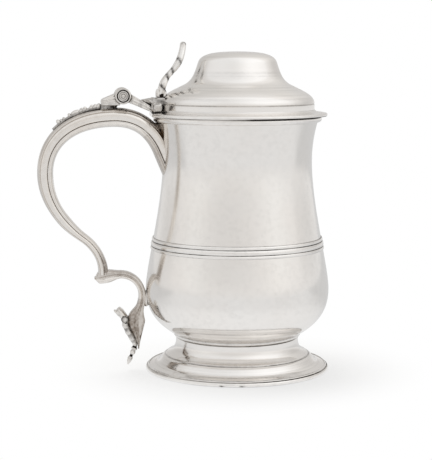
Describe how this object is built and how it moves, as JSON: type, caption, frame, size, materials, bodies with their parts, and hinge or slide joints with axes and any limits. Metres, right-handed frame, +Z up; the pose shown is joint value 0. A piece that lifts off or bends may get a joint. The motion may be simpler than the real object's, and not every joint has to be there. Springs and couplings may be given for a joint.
{
  "type": "lidded tankard",
  "caption": "Baluster-shaped silver tankard with a hinged domed lid, pierced scroll thumbpiece, hollow double-scroll handle, reeded girdle and spreading foot.",
  "frame": {"origin": "on the floor, under the middle of the bounding box", "axes": "+Z up, the handle towards -X, Y across the handle"},
  "size_m": [0.1796, 0.114, 0.2024],
  "materials": {
    "raised_silver": "polished sheet silver, lightly worn",
    "drawn_silver": "polished drawn wire",
    "cast_silver": "cast and chased, darker in the hollows",
    "pin_silver": "worn"
  },
  "bodies": {
    "vessel": {"foot_rim_wire": "drawn_silver", "foot": "raised_silver", "body_shell": "raised_silver", "girdle_moulding": "drawn_silver", "lip_moulding": "drawn_silver", "handle_outer_half": "raised_silver", "handle_inner_half": "raised_silver", "handle_lower_scroll": "cast_silver", "lower_handle_pad": "cast_silver", "handle_terminal": "cast_silver", "handle_leaf": "cast_silver", "hinge_bracket": "cast_silver", "hinge_pin": "pin_silver", "hinge_cap_near": "cast_silver", "hinge_cap_far": "cast_silver"},
    "lid": {"lid_rim_moulding": "drawn_silver", "lid_dome": "raised_silver", "lid_bezel": "drawn_silver", "lid_hinge_arm": "cast_silver", "thumbpiece_block": "cast_silver", "thumbpiece": "cast_silver"}
  },
  "joints": [
    {"name": "lid_hinge", "type": "hinge", "parent": "vessel", "child": "lid", "pos_m": [-0.0376, 0, 0.1698], "axis": [0, -1, 0], "range_deg": [0, 110]}
  ]
}
